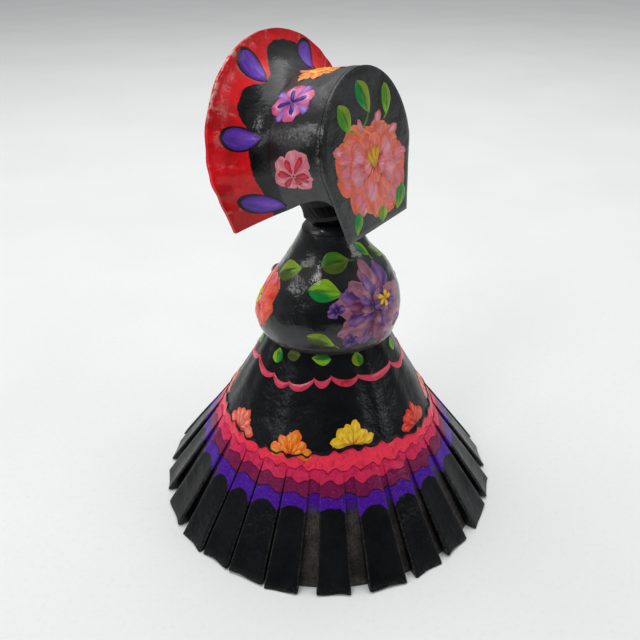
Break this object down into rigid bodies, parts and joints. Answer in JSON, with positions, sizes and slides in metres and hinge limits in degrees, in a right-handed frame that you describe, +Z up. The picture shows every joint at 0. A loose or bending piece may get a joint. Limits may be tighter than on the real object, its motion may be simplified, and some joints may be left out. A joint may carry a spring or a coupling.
{
  "type": "papier-mache catrina figure",
  "caption": "Standing skeleton lady with a pleated cone skirt, rounded bodice and a flared bonnet round her turned head, painted with flowers on black.",
  "frame": {"origin": "middle of the base disc's underside, where the figure stands", "axes": "+Z up; the body faces -Y with its left side at +X; the head is turned 54 degrees to its left, towards +X"},
  "size_m": [0.2508, 0.2524, 0.3215],
  "materials": {
    "varnished_black": "gloss varnish over black paint, painted flowers",
    "pleat_black": "satin varnish over black paint",
    "brim_red": "gloss varnish over crimson paint",
    "bone_paint": "satin bone-white paint",
    "hair_black": "matt black paint",
    "bare_board": "bare grey-brown board",
    "post_wood": "bare softwood"
  },
  "bodies": {
    "root": {"armature_post": "post_wood", "base_disc": "bare_board", "bodice": "varnished_black", "bonnet_back_panel": "varnished_black", "bonnet_brim": "brim_red", "bonnet_crown": "varnished_black", "hair": "hair_black", "hand_left": "bone_paint", "hand_right": "bone_paint", "neck": "varnished_black", "pleat_01": "pleat_black", "pleat_02": "pleat_black", "pleat_03": "pleat_black", "pleat_04": "pleat_black", "pleat_05": "pleat_black", "pleat_06": "pleat_black", "pleat_07": "pleat_black", "pleat_08": "pleat_black", "pleat_09": "pleat_black", "pleat_10": "pleat_black", "pleat_11": "pleat_black", "pleat_12": "pleat_black", "pleat_13": "pleat_black", "pleat_14": "pleat_black", "pleat_15": "pleat_black", "pleat_16": "pleat_black", "pleat_17": "pleat_black", "pleat_18": "pleat_black", "pleat_19": "pleat_black", "pleat_20": "pleat_black", "pleat_21": "pleat_black", "pleat_22": "pleat_black", "pleat_23": "pleat_black", "pleat_24": "pleat_black", "skirt_cone": "varnished_black", "skull": "bone_paint", "sleeve_left": "varnished_black", "sleeve_right": "varnished_black"}
  },
  "joints": []
}
